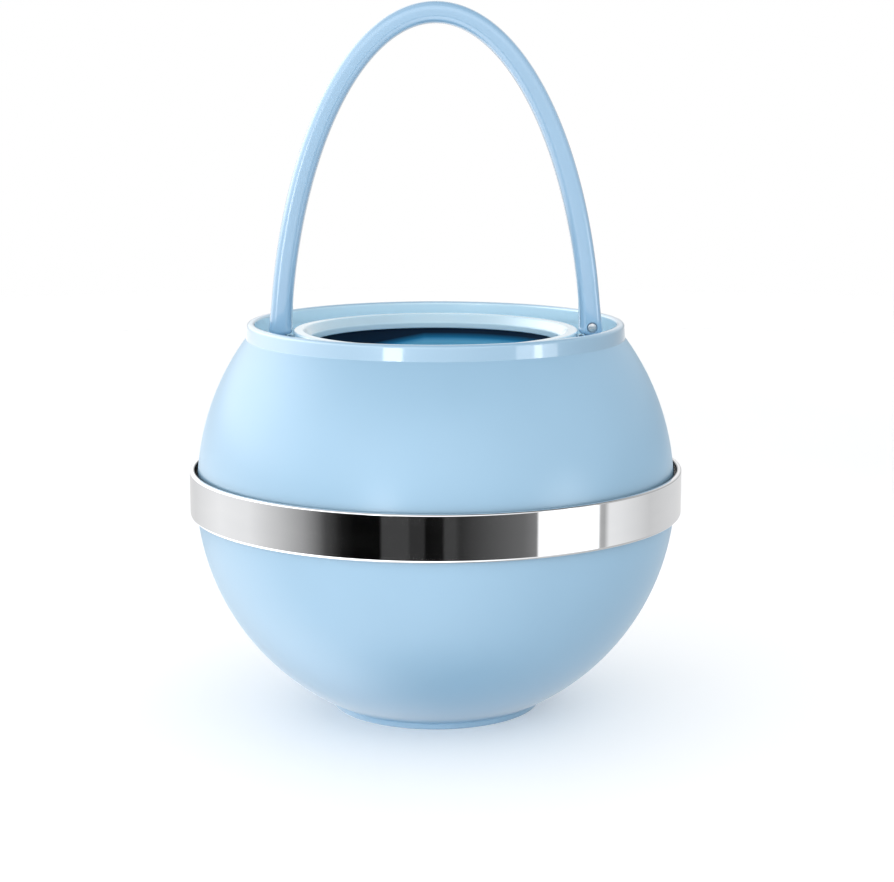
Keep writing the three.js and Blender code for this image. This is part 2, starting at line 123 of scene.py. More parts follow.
PORT_COUNT = 6
PORT_INNER_R = 9
PORT_OUTER_R = 22.8
PORT_ANGLE = 26
SCREW_CIRCLE_R = 27.5
SCREW_COUNT = 4

FLANGE_Z = 122.3
FLANGE_TOP_Z = 124
WELL_R = 45.9
WELL_INNER_R = 44.3
WELL_FLOOR_TOP_Z = 18.8
TONGUE_INNER_R = 45
TONGUE_OUTER_R = 46.2
NECK_R = 47.6
NECK_LIP_R = 42.1

BASKET_WALL = 1.6
BASKET_FLOOR = 2
BASKET_SLOT_COUNT = 16
BASKET_SLOT_HALF = 1.2
WELL_SLOT_COUNT = 12
WELL_SLOT_HALF = 1.5
WELL_SLOT_SPANS = ((8, 22), (26, 36.5))
WELL_FLOOR_Z = 16.4
BASKET_SLOT_SPANS = ((27, 56), (61, 90))
FINGER_HOLE = (10, 97, 106)

SEAL_INNER_R = {"seam_gasket": 77.4, "neck_gasket": BORE_R, "base_gasket": SEAT_R - WALL + 0.2}

DUST_COLOR = (0.8, 0.86, 0.88)
# Painted shade under the neck ring's lip: for each step, the depths below the ring over which it
# fades in, in millimetres, and its dark colour.
LIP_PAINTED_SHADES = (((5, 3.4), (0.02, 0.28, 0.56)), ((4, 1.8), (0.002, 0.02, 0.05)))

HANDLE_HALF_SPAN = 52.2
HANDLE_RISE = 117.6
HANDLE_CENTRE_Z = 115
HANDLE_THICK = 7.2
FLARE_HEIGHT = 13
FLARE_SHARE = 0.125

HANDLE_POWER = 3.2
HANDLE_FOOT_ROUND = 1.7
HANDLE_FOOT_ANGLE = 60

LUG_MIDDLE_X = (LUG_LOW.x + LUG_HIGH.x) / 2
LUG_SCREW_Z = (LUG_SCREW_LOW.z + LUG_SCREW_HIGH.z) / 2
LUG_SCREW_SEAT_Y = -3.4
SHANK_HALF = (2, 2.3)
SHANK_TOP_Z = LUG_HIGH.z
LUG_R = 2.8
PIN_R = 1.5
PIVOT_Z = (PIN_LOW.z + PIN_HIGH.z) / 2
INNER_EAR = (47.9, 49.4)
OUTER_EAR = (55, 61.4)


# ---- Settings ----

class DispenserFinish(bpy.types.PropertyGroup):
    """Colours and gloss of the dispenser's materials."""

    shell_color: bpy.props.FloatVectorProperty(
        name="Shell Colour", description="Pale sky blue of the two shells and the neck ring",
        subtype="COLOR", size=3, min=0, max=1, default=(0.32, 0.535, 0.725))
    # Painted light: a paler blue laid inside the collar, on the neck ring and the groove round it,
    # in place of light reaching them.
    inner_color: bpy.props.FloatVectorProperty(
        name="Inner Colour", description="Paler blue of the neck ring and the groove round it",
        subtype="COLOR", size=3, min=0, max=1, default=(0.6, 0.83, 0.96))
    handle_color: bpy.props.FloatVectorProperty(
        name="Handle Colour", description="Slightly stronger blue of the arched handle",
        subtype="COLOR", size=3, min=0, max=1, default=(0.31, 0.52, 0.73))
    well_color: bpy.props.FloatVectorProperty(
        name="Well Colour", description="Mid blue inside the mouth",
        subtype="COLOR", size=3, min=0, max=1, default=(0.17, 0.56, 0.82))
    basket_color: bpy.props.FloatVectorProperty(
        name="Basket Colour", description="Mid blue of the lift-out basket",
        subtype="COLOR", size=3, min=0, max=1, default=(0.10, 0.30, 0.48))
    shell_roughness: bpy.props.FloatProperty(
        name="Shell Roughness", description="Satin finish of the moulded shells",
        subtype="FACTOR", min=0, max=1, default=0.3)
    chrome_roughness: bpy.props.FloatProperty(
        name="Chrome Roughness", description="Polish of the plated band",
        subtype="FACTOR", min=0, max=1, default=0.035)


class DispenserMesh(bpy.types.PropertyGroup):
    """How finely the pieces are meshed."""

    sides: bpy.props.IntProperty(
        name="Sides", description="Steps round a large turned piece", min=48, max=512, default=240)
    small_sides: bpy.props.IntProperty(
        name="Small Sides", description="Steps round a screw, pin or hole", min=16, max=128,
        default=40)
    fillet_steps: bpy.props.IntProperty(
        name="Fillet Steps", description="Steps round each rounded edge", min=2, max=12, default=5)
    edge_round: bpy.props.FloatProperty(
        name="Edge Round", description="Radius broken on the edges of the hinge ears",
        subtype="DISTANCE", unit="LENGTH", min=0, max=0.001, default=0.25 * MM)


class DispenserStage(bpy.types.PropertyGroup):
    """Camera and studio light."""

    camera_distance: bpy.props.FloatProperty(
        name="Camera Distance", description="Level distance from the dispenser's axis",
        subtype="DISTANCE", unit="LENGTH", min=0.2, max=5, default=0.704)
    camera_height: bpy.props.FloatProperty(
        name="Camera Height", description="Height of the camera above the foot",
        subtype="DISTANCE", unit="LENGTH", min=0, max=3, default=0.2145)
    camera_pitch: bpy.props.FloatProperty(
        name="Camera Pitch", description="How far the camera looks down",
        subtype="ANGLE", unit="ROTATION", min=0, max=1.5, default=math.radians(10))
    camera_yaw: bpy.props.FloatProperty(
        name="Camera Yaw", description="How far the camera looks to its right",
        subtype="ANGLE", unit="ROTATION", min=-0.5, max=0.5, default=math.radians(0.31))
    lens: bpy.props.FloatProperty(
        name="Lens", description="Focal length in millimetres on a 36 mm sensor",
        min=10, max=300, default=85.1)
    key_power: bpy.props.FloatProperty(
        name="Key Power", description="Soft low light in front, to the left",
        subtype="POWER", unit="POWER", min=0, max=500, default=6)
    fill: bpy.props.FloatProperty(
        name="Fill", description="Even light from all round", min=0, max=3, default=1.0)


# ---- Outlines ----

def arc(r, z, radius, start, end, steps):
    """Corners along an arc between two angles in degrees, each with no rounding of its own."""
    points = []
    for i in range(steps + 1):
        angle = math.radians(start + (end - start) * i / steps)
        points.append((r + radius * math.cos(angle), z + radius * math.sin(angle), 0))
    return points


def fillet(before, corner, after, radius, steps):
    """Points of the arc that rounds one corner between its two neighbours."""
    here = Vector(corner)
    back = (Vector(before) - here).normalized()
    ahead = (Vector(after) - here).normalized()
    opening = back.angle(ahead)
    if opening > math.pi - 0.01:
        return [tuple(here)]
    reach = radius / math.tan(opening / 2)
    centre = here + (back + ahead).normalized() * (radius / math.sin(opening / 2))
    first = here + back * reach - centre
    sweep = first.angle_signed(here + ahead * reach - centre)
    points = []
    for i in range(steps + 1):
        spoke = first.copy()
        spoke.rotate(Matrix.Rotation(-sweep * i / steps, 2))
        points.append(tuple(centre + spoke))
    return points


def rounded(corners):
    """A closed outline from (x, y, radius) corners, with each corner rounded to its radius."""
    steps = bpy.context.scene.dispenser_mesh.fillet_steps
    outline = []
    for i, (x, y, radius) in enumerate(corners):
        if radius:
            before = corners[i - 1][:2]
            after = corners[(i + 1) % len(corners)][:2]
            outline += fillet(before, (x, y), after, radius, steps)
        else:
            outline.append((x, y))
    return outline


def rectangle(x0, y0, x1, y1, radius=0):
    """Corners of a rectangle, anticlockwise, all with one radius."""
    return [(x0, y0, radius), (x1, y0, radius), (x1, y1, radius), (x0, y1, radius)]


# ---- Meshes ----

def new_piece(name, shape):
    """Turns a bmesh in millimetres into an object in metres, with its faces pointing out."""
    bmesh.ops.remove_doubles(shape, verts=shape.verts, dist=1e-5)
    bmesh.ops.recalc_face_normals(shape, faces=shape.faces)
    bmesh.ops.scale(shape, verts=shape.verts, vec=(MM, MM, MM))
    mesh = bpy.data.meshes.new(name)
    shape.to_mesh(mesh)
    shape.free()
    piece = bpy.data.objects.new(name, mesh)
    bpy.context.scene.collection.objects.link(piece)
    return piece


def revolve(name, outline, sides=None):
    """A closed outline of (r, z) points turned about the Z axis."""
    sides = sides or bpy.context.scene.dispenser_mesh.sides
    shape = bmesh.new()
    rings = []
    for r, z in outline:
        if r < 1e-6:
            rings.append([shape.verts.new((0, 0, z))])
        else:
            turns = [2 * math.pi * i / sides for i in range(sides)]
            rings.append([shape.verts.new((r * math.cos(a), r * math.sin(a), z)) for a in turns])
    for ring, following in zip(rings, rings[1:] + rings[:1]):
        for i in range(sides):
            loop = [ring[i % len(ring)], ring[(i + 1) % sides % len(ring)],
                    following[(i + 1) % sides % len(following)], following[i % len(following)]]
            corners = list(dict.fromkeys(loop))
            if len(corners) > 2:
                shape.faces.new(corners)
    return new_piece(name, shape)


def prism(name, outline, low, high):
    """A closed outline of (x, y) points raised from one height to another."""
    shape = bmesh.new()
    bottom = [shape.verts.new((x, y, low)) for x, y in outline]
    top = [shape.verts.new((x, y, high)) for x, y in outline]
    shape.faces.new(bottom)
    shape.faces.new(top)
    for i in range(len(outline)):
        j = (i + 1) % len(outline)
        shape.faces.new((bottom[i], bottom[j], top[j], top[i]))
    return new_piece(name, shape)


def turned(name, corners):
    """A small piece turned about the Z axis, with its corners rounded."""
    return revolve(name, rounded(corners), bpy.context.scene.dispenser_mesh.small_sides)


def rod(name, radius, low, high):
    """A plain round bar along Z, for use as a tool or a shank."""
    return turned(name, [(0, low, 0), (radius, low, 0), (radius, high, 0), (0, high, 0)])


def place(piece, matrix):
    """Moves a piece's mesh, with the matrix's shift in millimetres."""
    in_metres = matrix.copy()
    in_metres.translation *= MM
    piece.data.transform(in_metres)
    if in_metres.determinant() < 0:
        piece.data.flip_normals()
    return piece


def along_x(piece, shift=(0, 0, 0)):
    """Lays a piece made along Z over onto X."""
    return place(piece, Matrix.Translation(shift) @ Matrix.Rotation(math.pi / 2, 4, "Y"))


def along_y(piece, shift=(0, 0, 0)):
    """Lays a piece made along Z over onto Y."""
    return place(piece, Matrix.Translation(shift) @ Matrix.Rotation(-math.pi / 2, 4, "X"))


def across_x(piece, shift=0):
    """Stands up a piece drawn in (y, z) and raised along Z, so that it is raised along X."""
    return place(piece, Matrix(((0, 0, 1, shift), (1, 0, 0, 0), (0, 1, 0, 0), (0, 0, 0, 1))))


def half_turned(piece):
    """Turns a piece made for the right side round to the left side."""
    return place(piece, Matrix.Rotation(math.pi, 4, "Z"))


def around(make, count, first=0):
    """Copies of a made piece spaced evenly about the Z axis, from a first angle in degrees."""
    copies = []
    for i in range(count):
        turn = math.radians(first + 360 * i / count)
        copies.append(place(make(), Matrix.Rotation(turn, 4, "Z")))
    return copies


def on_screw_circle(make):
    """Copies of a made piece, one at each base screw's place."""
    at_circle = Matrix.Translation((SCREW_CIRCLE_R, 0, 0))
    return around(lambda: place(make(), at_circle), SCREW_COUNT, 45)


def settle(piece):
    """Applies a piece's modifiers to its mesh."""
    bpy.context.view_layer.update()
    graph = bpy.context.evaluated_depsgraph_get()
    mesh = bpy.data.meshes.new_from_object(piece.evaluated_get(graph))
    piece.modifiers.clear()
    old = piece.data
    piece.data = mesh
    mesh.name = piece.name
    bpy.data.meshes.remove(old)
    return piece


def combine(piece, tools, operation):
    """Cuts or joins separate tools with a piece, and removes them."""
    joined = bmesh.new()
    for tool in tools:
        joined.from_mesh(tool.data)
        bpy.data.objects.remove(tool)
    mesh = bpy.data.meshes.new("tool")
    joined.to_mesh(mesh)
    joined.free()
    tool = bpy.data.objects.new("tool", mesh)
    bpy.context.scene.collection.objects.link(tool)
    boolean = piece.modifiers.new("Boolean", "BOOLEAN")
    boolean.operation = operation
    boolean.solver = "EXACT"
    boolean.object = tool
    settle(piece)
    bpy.data.objects.remove(tool)
    return piece


def cut(piece, tools):
    return combine(piece, tools, "DIFFERENCE")


def join(piece, tools):
    return combine(piece, tools, "UNION")


def soften(piece, width=None, angle=40, segments=2):
    """Breaks the sharp edges with a small round."""
    settings = bpy.context.scene.dispenser_mesh
    bevel = piece.modifiers.new("Edge Round", "BEVEL")
    bevel.width = width * MM if width else settings.edge_round
    bevel.segments = segments
    bevel.limit_method = "ANGLE"
    bevel.angle_limit = math.radians(angle)
    bevel.use_clamp_overlap = True
    bevel.miter_outer = "MITER_ARC"
    return settle(piece)


def finish_piece(piece, finish, slot, body, *nodes):
    """Shades a piece, gives it its material, ties it to its body, and hides the CAD nodes it stands
    for.
    """
    piece.data.shade_smooth()
    piece.data.set_sharp_from_angle(angle=math.radians(50))
    weighted = piece.modifiers.new("Weighted Normal", "WEIGHTED_NORMAL")
    weighted.keep_sharp = True
    settle(piece)
    piece.data.materials.clear()
    piece.data.materials.append(finish)
    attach(piece, body)
    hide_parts(*nodes)
    return piece


# ---- Materials ----

class Graph:
    """Short calls for building the nodes of a material or a world."""

    def __init__(self, owner):
        owner.use_nodes = True
        self.nodes = owner.node_tree.nodes
        self.links = owner.node_tree.links

    def feed(self, socket, value):
        """Links a socket to another node's output, or sets it to a plain value."""
        if isinstance(value, bpy.types.NodeSocket):
            self.links.new(value, socket)
        elif value is not None:
            socket.default_value = value

    def math(self, operation, first, second=None):
        node = self.nodes.new("ShaderNodeMath")
        node.operation = operation
        self.feed(node.inputs[0], first)
        self.feed(node.inputs[1], second)
        return node.outputs["Value"]

    def map_range(self, value, start, end, low, high, interpolation="LINEAR"):
        """Maps start to end onto low to high, and holds low and high beyond them."""
        node = self.nodes.new("ShaderNodeMapRange")
        node.interpolation_type = interpolation
        for name, number in (("From Min", start), ("From Max", end),
                             ("To Min", low), ("To Max", high)):
            node.inputs[name].default_value = number
        self.links.new(value, node.inputs["Value"])
        return node.outputs["Result"]

    def split(self, vector, axis):
        """One coordinate of a vector."""
        node = self.nodes.new("ShaderNodeSeparateXYZ")
        self.links.new(vector, node.inputs["Vector"])
        return node.outputs[axis]


class Finish(Graph):
    """A material under construction, round its Principled shader."""

    def __init__(self, name):
        self.material = bpy.data.materials.new(name)
        super().__init__(self.material)
        self.shader = self.nodes["Principled BSDF"]
        self.position = self.nodes.new("ShaderNodeTexCoord").outputs["Object"]

    def set(self, socket, value):
        """Gives one of the shader's sockets a plain value or a texture."""
        self.feed(self.shader.inputs[socket], value)

    def axis_distance(self):
        """A point's distance from the Z axis."""
        flat = self.nodes.new("ShaderNodeVectorMath")
        flat.operation = "MULTIPLY"
        self.links.new(self.position, flat.inputs[0])
        flat.inputs[1].default_value = (1, 1, 0)
        length = self.nodes.new("ShaderNodeVectorMath")
        length.operation = "LENGTH"
        self.links.new(flat.outputs["Vector"], length.inputs[0])
        return length.outputs["Value"]

    def noise(self, scale, detail=4, stretch=(1, 1, 1)):
        """Noise in object space; scale is in features per metre."""
        mapping = self.nodes.new("ShaderNodeMapping")
        mapping.inputs["Scale"].default_value = stretch
        self.links.new(self.position, mapping.inputs["Vector"])
        texture = self.nodes.new("ShaderNodeTexNoise")
        texture.inputs["Scale"].default_value = scale
        texture.inputs["Detail"].default_value = detail
        self.links.new(mapping.outputs["Vector"], texture.inputs["Vector"])
        return texture.outputs["Fac"]

    def spread(self, value, low, high, start=0.3, end=0.7):
        """Maps a texture's middle range, or another range, onto low to high."""
        return self.map_range(value, start, end, low, high)

    def mix(self, share, first, second):
        """Two colours mixed by a texture."""
        node = self.nodes.new("ShaderNodeMix")
        node.data_type = "RGBA"
        self.links.new(share, node.inputs["Factor"])
        for name, color in (("A", first), ("B", second)):
            target = next(s for s in node.inputs if s.name == name and s.type == "RGBA")
            self.feed(target, color if isinstance(color, bpy.types.NodeSocket) else (*color, 1))
        return next(s for s in node.outputs if s.type == "RGBA")

    def bump(self, height, depth):
        """Raises a texture by a depth in millimetres."""
        node = self.nodes.new("ShaderNodeBump")
        node.inputs["Strength"].default_value = 1
        node.inputs["Distance"].default_value = depth * MM
        self.links.new(height, node.inputs["Height"])
        return node.outputs["Normal"]


def tinted(color, share):
    """A colour made darker or lighter by a share."""
    return tuple(min(1, c * share) for c in color)


def moulded_plastic(name, color, roughness, coat=0, peel=0.006):
    """Coloured plastic with a faint drift of tone, an uneven sheen and a slight orange peel."""
    finish = Finish(name)
    drift = finish.noise(22, 2)
    finish.set("Base Color", finish.mix(drift, tinted(color, 0.95), tinted(color, 1.05)))
    sheen = finish.noise(90, 2)
    finish.set("Roughness", finish.spread(sheen, roughness - 0.03, roughness + 0.03, 0, 1))
    finish.set("Normal", finish.bump(finish.noise(220, 2), peel))
    finish.set("IOR", 1.5)
    finish.set("Specular IOR Level", 1)
    finish.set("Coat Weight", coat)
    finish.set("Coat Roughness", 0.06)
    return finish


def polish_above(finish, height):
    """Gives a plastic a clear polish above a height in millimetres."""
    z = finish.split(finish.position, "Z")
    finish.set("Coat Weight", finish.spread(z, 0, 1, (height - 0.2) * MM, (height + 0.2) * MM))
    finish.set("Coat IOR", 1.8)


def recolour_inside(finish, radius, color):
    """Gives a finish a second colour nearer the Z axis than a radius in millimetres: painted light
    inside the collar, painted shade inside the band.
    """
    inside = finish.spread(finish.axis_distance(), 1, 0, radius * MM, (radius + 0.4) * MM)
    outside = finish.shader.inputs["Base Color"].links[0].from_socket
    finish.set("Base Color", finish.mix(inside, outside, color))


def chalked_plastic(name, color):
    """Plastic that tablets rub on, with pale chlorine dust low down and painted shade at its top,
    under the neck ring's lip, reaching lower on the left.
    """
    finish = Finish(name)
    z = finish.split(finish.position, "Z")
    low_down = finish.spread(z, 0.25, 0, 20 * MM, 75 * MM)
    speckle = finish.spread(finish.noise(320, 6), 0, 1, 0.45, 0.62)
    dust = finish.math("MULTIPLY", low_down, speckle)
    drift = finish.mix(finish.noise(40, 3), tinted(color, 0.9), tinted(color, 1.1))
    dust_and_painted_shade = finish.mix(dust, drift, DUST_COLOR)
    # Painted shadow: the shade under the lip reaches further down towards the left side.
    left_shade_drop = finish.spread(finish.split(finish.position, "X"), 3 * MM, 0, -22 * MM, -4 * MM)
    height = finish.math("ADD", z, left_shade_drop)
    # Painted shade: dark colour laid over the wall just under the neck ring's lip.
    for (low, high), shade in LIP_PAINTED_SHADES:
        share = finish.spread(height, 0, 1, (NECK_LOW.z - low) * MM, (NECK_LOW.z - high) * MM)
        dust_and_painted_shade = finish.mix(share, dust_and_painted_shade, shade)
    finish.set("Base Color", dust_and_painted_shade)
    finish.set("Roughness", finish.spread(finish.noise(160, 4), 0.4, 0.55))
    finish.set("Normal", finish.bump(finish.noise(900, 3), 0.01))
    finish.set("Specular IOR Level", 0.2)
    return finish.material


def look():
    """The colours and gloss that the user has set."""
    return bpy.context.scene.dispenser_finish


def shared(make):
    """A material made once, under its function's name, and shared by the pieces that carry it."""
    return bpy.data.materials.get(make.__name__) or make()


def shell_plastic():
    return moulded_plastic("shell_plastic", look().shell_color, look().shell_roughness).material


def collar_plastic():
    """The shells' plastic, polished from the collar up, with painted light making it paler inside
    the collar.
    """
    finish = moulded_plastic("collar_plastic", look().shell_color, look().shell_roughness)
    polish_above(finish, COLLAR_BASE_Z)
    # Painted light: paler colour on the groove and neck ring inside the collar.
    recolour_inside(finish, COLLAR_INNER_R, look().inner_color)
    return finish.material


def handle_plastic():
    return moulded_plastic("handle_plastic", look().handle_color, 0.24, 1, 0.0015).material


def dial_plastic():
    return moulded_plastic("dial_plastic", tinted(look().shell_color, 0.85), 0.38).material


def well_plastic():
    return chalked_plastic("well_plastic", look().well_color)


def basket_plastic():
    return chalked_plastic("basket_plastic", look().basket_color)


def chrome_plate():
    """Bright plating with faint polishing haze, and a near-black inner face that paints the shade
    in the gap between band and shells.
    """
    finish = Finish("chrome_plate")
    haze = finish.noise(30, 4, (1, 1, 6))
    finish.set("Base Color", finish.mix(haze, (0.86, 0.87, 0.89), (0.93, 0.935, 0.945)))
    roughness = look().chrome_roughness
    finish.set("Roughness", finish.spread(haze, roughness, roughness + 0.02))
    finish.set("Metallic", 1)
    finish.set("Normal", finish.bump(finish.noise(18, 2), 0.01))
    # Painted shade: the inner face is near black, so the gap between band and shells reads as
    # shadow.
    recolour_inside(finish, BAND_INNER_R + 0.2, (0.01, 0.01, 0.012))
    return finish.material


def seal_rubber():
    """Matt black rubber with moulding dust."""
    finish = Finish("seal_rubber")
    dust = finish.spread(finish.noise(500, 5), 0, 1, 0.5, 0.75)
    finish.set("Base Color", finish.mix(dust, (0.018, 0.019, 0.021), (0.05, 0.052, 0.056)))
    finish.set("Roughness", finish.spread(dust, 0.62, 0.85, 0, 1))
    finish.set("Normal", finish.bump(finish.noise(1600, 3), 0.02))
    return finish.material


def stainless_steel():
    """Turned stainless steel with fine machining lines."""
    finish = Finish("stainless_steel")
    lines = finish.noise(700, 3, (1, 1, 9))
    finish.set("Base Color", finish.mix(lines, (0.52, 0.53, 0.54), (0.7, 0.71, 0.72)))
    finish.set("Roughness", finish.spread(lines, 0.22, 0.36))
    finish.set("Metallic", 1)
    finish.set("Normal", finish.bump(lines, 0.01))
    return finish.material


def cast_ballast():
    """Painted casting with a sandy skin."""
    finish = Finish("cast_ballast")
    grain = finish.noise(700, 5)
    finish.set("Base Color", finish.mix(grain, (0.06, 0.063, 0.068), (0.13, 0.135, 0.14)))
    finish.set("Roughness", finish.spread(grain, 0.5, 0.75))
    finish.set("Normal", finish.bump(grain, 0.12))
    finish.set("Metallic", 0.3)
    return finish.material


# ---- Shells ----

def angle_at(z, radius):
    """Angle at a height on a shell's arc of some radius."""
    return math.degrees(math.asin((z - EQUATOR_Z) / radius))


def inner_bowl_angle(r):
    """Angle on the bowl's inner arc at a distance from the axis."""
    return -math.degrees(math.acos(r / (BOWL_R - WALL)))


def lug_plate(flat_z, low_x, high_x):
    """A plate across X with a round end about the pivot and straight sides to a flat face."""
    sweep = 180 if flat_z < PIVOT_Z else -180
    end = [point[:2] for point in arc(0, PIVOT_Z, LUG_R, 0, sweep, 24)]
    return across_x(prism("lug_plate", [(LUG_R, flat_z), *end, (-LUG_R, flat_z)], low_x, high_x))


def pivot_rod(radius, low_x, high_x):
    return along_x(rod("pivot_rod", radius, low_x, high_x), (0, 0, PIVOT_Z))


def make_upper_shell():
    rim_z = EQUATOR_Z + SEAM_HALF
    under_z = DECK_Z - WALL
    skirt_join_z = rim_z + 8
    collar_base_angle = math.radians(angle_at(COLLAR_BASE_Z, DOME_R))
    outline = rounded([
        (SKIRT_R, rim_z, 0.3),
        (DOME_AXIS_R + DOME_R - 0.01, rim_z, 0.3),
        *arc(DOME_AXIS_R, EQUATOR_Z, DOME_R, angle_at(rim_z + 0.5, DOME_R),
             angle_at(COLLAR_BASE_Z - 0.4, DOME_R), 60),
        (DOME_AXIS_R + DOME_R * math.cos(collar_base_angle), COLLAR_BASE_Z, 0.35),
        (COLLAR_R, COLLAR_TOP_Z, 1.05),
        (COLLAR_INNER_R, COLLAR_TOP_Z, 0.9),
        (COLLAR_INNER_R, DECK_Z, 0.8),
        (NECK_R, DECK_Z, 0),
        (NECK_R, DECK_Z + GAP, 0),
        (BORE_R, DECK_Z + GAP, 0.15),
        (BORE_R, under_z - 4, 0.3),
        (BORE_R + 1.8, under_z - 4, 0.3),
        (BORE_R + 1.8, under_z, 0.6),
        *arc(DOME_AXIS_R, EQUATOR_Z, DOME_R - WALL, angle_at(under_z, DOME_R - WALL),
             angle_at(skirt_join_z, DOME_R - WALL), 40),
        (SKIRT_R - 2, skirt_join_z - 2.5, 0.8),
        (SKIRT_R - 2, UPPER_LOW.z, 0.4),
        (SKIRT_R, UPPER_LOW.z, 0.4),
    ])
    shell = revolve("upper_shell_fine", outline)
    ears = []
    for span in (INNER_EAR, OUTER_EAR):
        ears += around(lambda: soften(lug_plate(DECK_Z - 1, *span)), 2)
    join(shell, ears)
    pin_hole = (PIN_R + 0.1, INNER_EAR[0] - 1, PIN_HIGH.x + GAP)
    return cut(shell, around(lambda: pivot_rod(*pin_hole), 2))


def port_tool(low, high):
    """One of the water ports, as a sector of a ring with round corners."""
    half = PORT_ANGLE / 2
    outer = arc(0, 0, PORT_OUTER_R, -half, half, 12)
    inner = arc(0, 0, PORT_INNER_R, half, -half, 8)
    for edge in (outer, inner):
        edge[0] = (*edge[0][:2], 0.7)
        edge[-1] = (*edge[-1][:2], 0.7)
    return prism("port_tool", rounded(outer + inner), low, high)


def make_lower_shell():
    rim_z = LOWER_HIGH.z
    plate_top = PLATE_Z + WALL
    seat_inner_r = SEAT_R - WALL
    recess_wall_r = RECESS_R + WALL
    outline = rounded([
        (0, PLATE_Z, 0),
        (RECESS_R, PLATE_Z, 0.5),
        (RECESS_R, 0, 0.4),
        (FOOT_R, 0, 0.7),
        (FOOT_R, FOOT_HEIGHT - 0.3, 0.2),
        (FOOT_R - 0.2, FOOT_HEIGHT, 0.1),
        *arc(0, EQUATOR_Z, BOWL_R, angle_at(FOOT_HEIGHT + 0.2, BOWL_R),
             angle_at(rim_z - 0.5, BOWL_R), 80),
        (BOWL_R - 0.01, rim_z, 0.3),
        (BOWL_R - WALL, rim_z, 0.3),
        *arc(0, EQUATOR_Z, BOWL_R - WALL, angle_at(rim_z - 1, BOWL_R - WALL),
             inner_bowl_angle(SEAT_R), 50),
        (SEAT_R, SEAT_Z, 0.4),
        (seat_inner_r, SEAT_Z, 0.4),
        *arc(0, EQUATOR_Z, BOWL_R - WALL, inner_bowl_angle(seat_inner_r),
             inner_bowl_angle(recess_wall_r), 6),
        (recess_wall_r, plate_top, 0.2),
        (0, plate_top, 0),
    ])
    shell = revolve("lower_shell_fine", outline)
    join(shell, [rod("boss", 4.5, plate_top - 1, plate_top + 4.5)])
    ports = around(lambda: port_tool(PLATE_Z - 1, plate_top + 1), PORT_COUNT)
    holes = on_screw_circle(lambda: rod("hole", 1.6, PLATE_Z - 1, plate_top + 1))
    cut(shell, ports + holes + [rod("pilot", 1.7, PLATE_Z - 1, plate_top + 3.5)])
    return cut(shell, on_screw_circle(screw_seat))


def screw_seat():
    """The countersink that a base screw's head sits in."""
    return turned("seat", [(0, PLATE_Z - 0.1, 0), (3.03, PLATE_Z - 0.1, 0),
                           (1.6, PLATE_Z + 1.45, 0), (0, PLATE_Z + 1.45, 0)])


class DISPENSER_OT_shells(bpy.types.Operator):
    """Build the dome with its collar and hinge ears, and the bowl with its foot and ports"""

    bl_idname = "dispenser.shells"
    bl_label = "Shells"

    def execute(self, context):
        finish_piece(make_upper_shell(), shared(collar_plastic), "shell", "hull", "upper_shell")
        finish_piece(make_lower_shell(), shared(shell_plastic), "shell", "hull", "lower_shell")
        return {"FINISHED"}


# ---- Band ----

def make_band():
    rib_half = SEAM_HALF - GAP
    return revolve("trim_band_fine", rounded([
        (BAND_INNER_R, BAND_LOW.z, 0.3),
        (BAND_HIGH.x, BAND_LOW.z, BAND_BOTTOM_ROUND),
        (BAND_HIGH.x, BAND_HIGH.z, BAND_TOP_ROUND),
        (BAND_INNER_R, BAND_HIGH.z, 0.3),
        (BAND_INNER_R, EQUATOR_Z + rib_half, 0),
        (BAND_RIB_R, EQUATOR_Z + rib_half, 0.2),
        (BAND_RIB_R, EQUATOR_Z - rib_half, 0.2),
        (BAND_INNER_R, EQUATOR_Z - rib_half, 0),
    ]))


class DISPENSER_OT_band(bpy.types.Operator):
    """Build the plated band with the rib that the shells trap"""

    bl_idname = "dispenser.band"
    bl_label = "Trim Band"

    def execute(self, context):
        finish_piece(make_band(), shared(chrome_plate), "band", "hull", "trim_band")
        return {"FINISHED"}


# ---- Well and neck ring ----

def slot_tool(low_r, high_r, half_width, low_z, high_z):
    """A slot along a radius, with round ends."""
    corners = rectangle(low_r, -half_width, high_r, half_width, half_width * 0.98)
    return prism("slot_tool", rounded(corners), low_z, high_z)


def make_well():
    outline = rounded([
        (0, WELL_FLOOR_Z, 0),
        (WELL_R, WELL_FLOOR_Z, 0.5),
        (WELL_R, FLANGE_Z, 0.4),
        (WELL_HIGH.x, FLANGE_Z, 0.2),
        (WELL_HIGH.x, FLANGE_TOP_Z, 0.2),
        (TONGUE_OUTER_R, FLANGE_TOP_Z, 0),
        (TONGUE_OUTER_R, WELL_HIGH.z, 0.3),
        (TONGUE_INNER_R, WELL_HIGH.z, 0.3),
        (TONGUE_INNER_R, FLANGE_TOP_Z, 0),
        (WELL_INNER_R, FLANGE_TOP_Z, 0.3),
        (WELL_INNER_R, WELL_FLOOR_TOP_Z, 0.6),
        (0, WELL_FLOOR_TOP_Z, 0),
    ])
    well = revolve("tablet_well_fine", outline)
    join(well, on_screw_circle(lambda: rod("boss", 3.2, WELL_LOW.z, WELL_FLOOR_Z + 1)))
    tools = on_screw_circle(lambda: rod("pilot", 1.5, WELL_LOW.z - 1, WELL_FLOOR_Z + 1))
    for low_r, high_r in WELL_SLOT_SPANS:
        tools += around(lambda: slot_tool(low_r, high_r, WELL_SLOT_HALF, WELL_FLOOR_Z - 1,
                                          WELL_FLOOR_TOP_Z + 1), WELL_SLOT_COUNT)
    return cut(well, tools)


